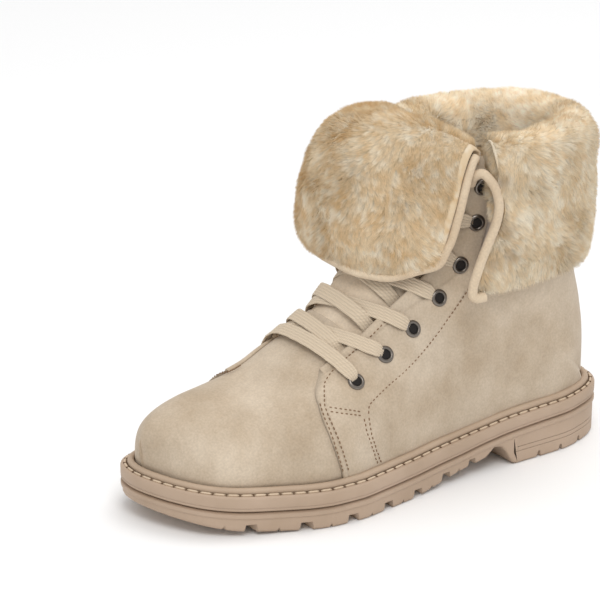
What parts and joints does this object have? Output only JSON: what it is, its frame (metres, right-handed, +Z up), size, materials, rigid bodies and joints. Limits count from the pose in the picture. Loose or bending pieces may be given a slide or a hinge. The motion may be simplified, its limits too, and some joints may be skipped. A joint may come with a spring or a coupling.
{
  "type": "sheepskin boot",
  "caption": "Lace-up ankle boot with a deep fur collar folded down, a folded fur tongue flap and a lugged rubber sole.",
  "frame": {"origin": "middle of the heel's ground face, on the floor plane", "axes": "+Y from toe to heel along the sole, +X to the outer side of the left foot, +Z up"},
  "size_m": [0.1079, 0.281, 0.1918],
  "materials": {
    "rubber_sole": "matt pinkish beige rubber",
    "welt_rubber": "matt, stitched look",
    "nubuck": "sand nubuck with soft cloudy marks",
    "piping_leather": "smooth matt leather",
    "fur": "cream and honey pile",
    "lining": "short pile",
    "lace_cotton": "flat ribbed weave",
    "eyelet_metal": "dark gunmetal"
  },
  "bodies": {
    "root": {"outsole": "rubber_sole", "midsole": "rubber_sole", "welt": "welt_rubber", "insole": "lining", "upper": "nubuck", "tongue": "nubuck", "collar_fur": "fur", "tongue_fur": "fur", "collar_piping_outer": "piping_leather", "collar_piping_inner": "piping_leather", "tongue_piping": "piping_leather", "eyelet_outer_1": "eyelet_metal", "eyelet_inner_1": "eyelet_metal", "eyelet_outer_2": "eyelet_metal", "eyelet_inner_2": "eyelet_metal", "eyelet_outer_3": "eyelet_metal", "eyelet_inner_3": "eyelet_metal", "eyelet_outer_4": "eyelet_metal", "eyelet_inner_4": "eyelet_metal", "eyelet_outer_5": "eyelet_metal", "eyelet_inner_5": "eyelet_metal", "eyelet_outer_6": "eyelet_metal", "eyelet_inner_6": "eyelet_metal", "eyelet_outer_7": "eyelet_metal", "eyelet_inner_7": "eyelet_metal", "lace_1": "lace_cotton", "lace_2": "lace_cotton", "lace_3": "lace_cotton", "lace_4": "lace_cotton", "lace_5": "lace_cotton", "lace_6": "lace_cotton"}
  },
  "joints": []
}
